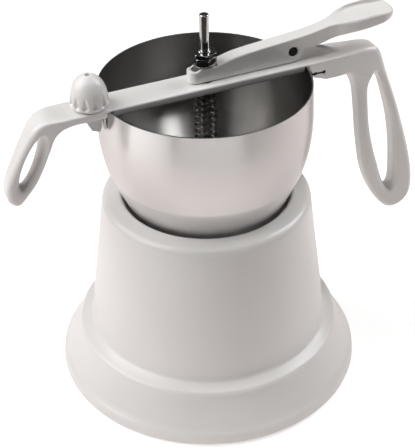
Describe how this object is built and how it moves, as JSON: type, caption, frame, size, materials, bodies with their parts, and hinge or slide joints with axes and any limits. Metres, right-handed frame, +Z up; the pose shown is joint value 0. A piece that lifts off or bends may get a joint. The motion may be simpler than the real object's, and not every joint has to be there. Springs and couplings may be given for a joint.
{
  "type": "dispensing funnel with stand",
  "caption": "Steel bowl with a clamped two-loop handle frame, whose thumb lever lifts a spring-loaded rod and stopper off the outlet, resting in a hollow bell-shaped stand.",
  "frame": {"origin": "centre of the stand's foot, on the surface it stands on", "axes": "+Z up along the stand's and bowl's axis, +X along the crossbar towards the long loop handle and the lever's thumb pad"},
  "size_m": [0.3456, 0.244, 0.309],
  "materials": {
    "white_plastic": "warm white moulded plastic, semi-gloss",
    "grey_plastic": "light grey moulded plastic, matt",
    "bowl_steel": "satin stainless steel, spun",
    "rod_chrome": "bright plated steel",
    "dark_steel": "dark plated steel, slightly glossy",
    "brass_insert": "turned brass",
    "silicone": "grey silicone rubber, matt"
  },
  "bodies": {
    "stand": {"stand_shell": "white_plastic"},
    "funnel": {"bowl": "bowl_steel", "left_ear": "bowl_steel", "right_ear": "dark_steel", "outlet_collar": "bowl_steel", "nozzle": "white_plastic", "nozzle_seal": "silicone", "handle_frame": "white_plastic", "rod_bush": "brass_insert", "pivot_pin": "dark_steel", "pin_clip": "dark_steel", "spring_seat": "rod_chrome", "return_spring": "dark_steel", "clamp_washer": "rod_chrome"},
    "lever": {"lever": "white_plastic"},
    "rod": {"rod": "rod_chrome", "lift_washer": "dark_steel", "lift_nut": "dark_steel", "lock_nut": "dark_steel", "spring_collar": "rod_chrome", "collar_pin": "dark_steel", "stopper": "silicone", "stopper_nut": "rod_chrome"},
    "knob": {"clamp_knob": "white_plastic", "knob_insert": "brass_insert", "clamp_stud": "rod_chrome"},
    "jaw": {"clamp_jaw": "grey_plastic"}
  },
  "joints": [
    {"name": "funnel_lift", "type": "slide", "parent": "stand", "child": "funnel", "axis": [0, 0, 1], "range_m": [0, 0.11]},
    {"name": "rod_lift", "type": "slide", "parent": "funnel", "child": "rod", "axis": [0, 0, 1], "range_m": [0, 0.016], "stiffness_N_per_m": 1100, "springref_m": -0.012, "deforming": ["return_spring"]},
    {"name": "lever_pivot", "type": "hinge", "parent": "funnel", "child": "lever", "pos_m": [0.07, 0, 0.2655], "axis": [0, 1, 0], "range_deg": [0, 13]},
    {"name": "knob_turn", "type": "hinge", "parent": "funnel", "child": "knob", "pos_m": [-0.09, 0, 0.25], "axis": [0, 0, 1], "range_deg": [0, 720]},
    {"name": "jaw_slide", "type": "slide", "parent": "funnel", "child": "jaw", "axis": [0, 0, 1], "range_m": [-0.0017, 0]}
  ],
  "couplings": [
    {"joint": "lever_pivot", "follows": "rod_lift", "rad_per_m": 14.14},
    {"joint": "jaw_slide", "follows": "knob_turn", "m_per_rad": -0.00012732}
  ]
}
